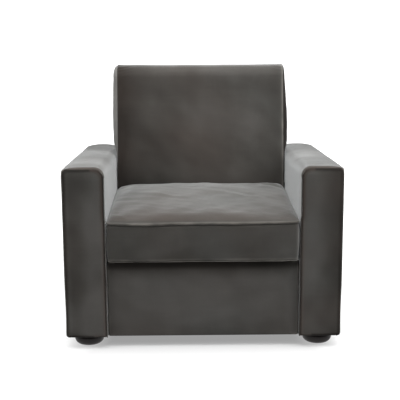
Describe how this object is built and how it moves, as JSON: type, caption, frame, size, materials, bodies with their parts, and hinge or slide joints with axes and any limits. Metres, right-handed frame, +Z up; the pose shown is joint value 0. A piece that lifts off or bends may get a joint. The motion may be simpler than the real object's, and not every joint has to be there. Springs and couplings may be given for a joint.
{
  "type": "upholstered armchair",
  "caption": "Velvet upholstered track-arm club chair with a tight raked back, a loose boxed seat cushion with a rear zip, and low dark turned bun feet.",
  "frame": {"origin": "on the floor, under the middle of the chair's width and depth", "axes": "+X across the chair towards the arm on the right when facing it, +Y from the seat's front to the back, +Z up"},
  "size_m": [0.914, 0.864, 0.883],
  "materials": {
    "velvet": "grey velvet pile, soft sheen",
    "padding": "white bonded polyester felt",
    "foam": "cream polyurethane foam",
    "fibre": "white hollow fibre wadding",
    "hardwood": "rough sawn hardwood and plywood, unfinished",
    "dark_wood": "dark espresso stain, satin",
    "zinc_steel": "bright zinc plate",
    "spring_steel": "oil-tempered steel",
    "tie_wire": "paper-wrapped steel wire",
    "webbing": "woven elastic webbing",
    "deck_cloth": "plain grey lining cloth",
    "dust_cloth": "black spun-bonded cambric",
    "glide_plastic": "hard nylon, matt",
    "zip_tape": "woven polyester tape with a nylon coil",
    "zip_metal": "gunmetal plate"
  },
  "bodies": {
    "chair": {"arm_bottom_rails": "hardwood", "arm_cover_left": "velvet", "arm_cover_right": "velvet", "arm_front_pads": "padding", "arm_front_panel_left": "velvet", "arm_front_panel_right": "velvet", "arm_front_post_left": "hardwood", "arm_front_post_right": "hardwood", "arm_inner_pad_left": "padding", "arm_inner_pad_right": "padding", "arm_inner_rails": "hardwood", "arm_outer_panel_left": "velvet", "arm_outer_panel_right": "velvet", "arm_rear_post_left": "hardwood", "arm_rear_post_right": "hardwood", "arm_top_pad_left": "padding", "arm_top_pad_right": "padding", "arm_top_rail_left": "hardwood", "arm_top_rail_right": "hardwood", "back_cover": "velvet", "back_foam": "foam", "back_lower_rail": "hardwood", "back_outer_panel": "velvet", "back_post_left": "hardwood", "back_post_right": "hardwood", "back_top_pad": "padding", "back_top_rail": "hardwood", "back_webbing": "webbing", "bolt_nuts": "zinc_steel", "corner_block_screws": "zinc_steel", "corner_blocks": "hardwood", "deck_cover": "deck_cloth", "deck_pad": "padding", "dust_cover": "dust_cloth", "dust_cover_staples": "zinc_steel", "foot_blocks": "hardwood", "foot_front_left": "dark_wood", "foot_front_right": "dark_wood", "foot_glides": "glide_plastic", "foot_hanger_bolts": "zinc_steel", "foot_rear_left": "dark_wood", "foot_rear_right": "dark_wood", "foot_tee_nuts": "zinc_steel", "frame_bolts": "zinc_steel", "front_rail": "hardwood", "front_rail_cover": "velvet", "front_rail_pad": "padding", "rear_rail": "hardwood", "seat_springs": "spring_steel", "side_rail_left": "hardwood", "side_rail_right": "hardwood", "spring_clips": "spring_steel", "spring_rail": "hardwood", "spring_tie_wires": "tie_wire"},
    "seat_cushion": {"cushion_cover": "velvet", "cushion_fibre_wrap": "fibre", "cushion_foam_core": "foam", "zipper_tape": "zip_tape"},
    "zip_slider": {"zipper_slider": "zip_metal"},
    "zip_pull": {"zipper_pull": "zip_metal"}
  },
  "joints": [
    {"name": "cushion_lift", "type": "slide", "parent": "chair", "child": "seat_cushion", "axis": [0, 0, 1], "range_m": [0, 0.62]},
    {"name": "zip_slide", "type": "slide", "parent": "seat_cushion", "child": "zip_slider", "axis": [1, 0, 0], "range_m": [0, 0.549]},
    {"name": "zip_pull_hinge", "type": "hinge", "parent": "zip_slider", "child": "zip_pull", "pos_m": [-0.2745, 0.07765, 0.366], "axis": [0, 0, 1], "range_deg": [0, 18]}
  ]
}
